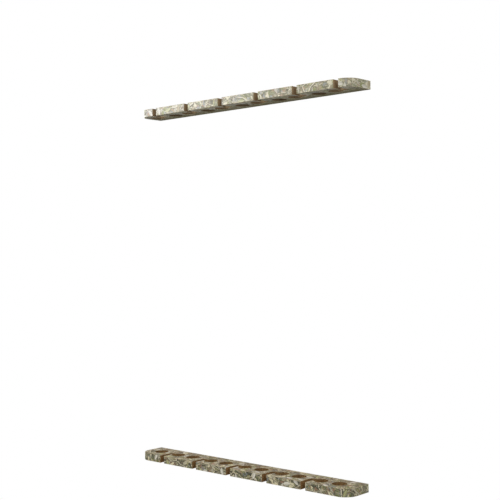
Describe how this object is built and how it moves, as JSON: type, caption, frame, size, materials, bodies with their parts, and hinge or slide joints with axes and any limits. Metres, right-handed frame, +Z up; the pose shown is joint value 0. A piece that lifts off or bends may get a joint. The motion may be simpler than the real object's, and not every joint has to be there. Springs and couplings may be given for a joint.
{
  "type": "wall rod rack",
  "caption": "Pair of wall rails with a camouflage print, with blind butt holes and hooked slots that hold fishing rods upright.",
  "frame": {"origin": "middle of the lower rail's back edge, on the wall", "axes": "+X along the rails to the right as seen from the front, +Y into the wall, +Z up"},
  "size_m": [0.6065, 0.067, 0.7994],
  "materials": {
    "bare_core": "sawn and milled wood fibre board, unfinished",
    "print": "low sheen printed sheet",
    "edge_print": "low sheen printed strip",
    "zinc_steel": "zinc plated",
    "screw_steel": "zinc plated"
  },
  "bodies": {
    "root": {"lower_board": "bare_core", "lower_top_laminate": "print", "lower_bottom_laminate": "print", "lower_left_edge": "edge_print", "lower_front_edge": "edge_print", "lower_right_edge": "edge_print", "lower_left_plate": "zinc_steel", "lower_right_plate": "zinc_steel", "lower_left_screws": "screw_steel", "lower_right_screws": "screw_steel", "upper_board": "bare_core", "upper_top_laminate": "print", "upper_bottom_laminate": "print", "upper_left_edge": "edge_print", "upper_front_edge": "edge_print", "upper_right_edge": "edge_print", "upper_left_plate": "zinc_steel", "upper_right_plate": "zinc_steel", "upper_left_screws": "screw_steel", "upper_right_screws": "screw_steel"}
  },
  "joints": []
}
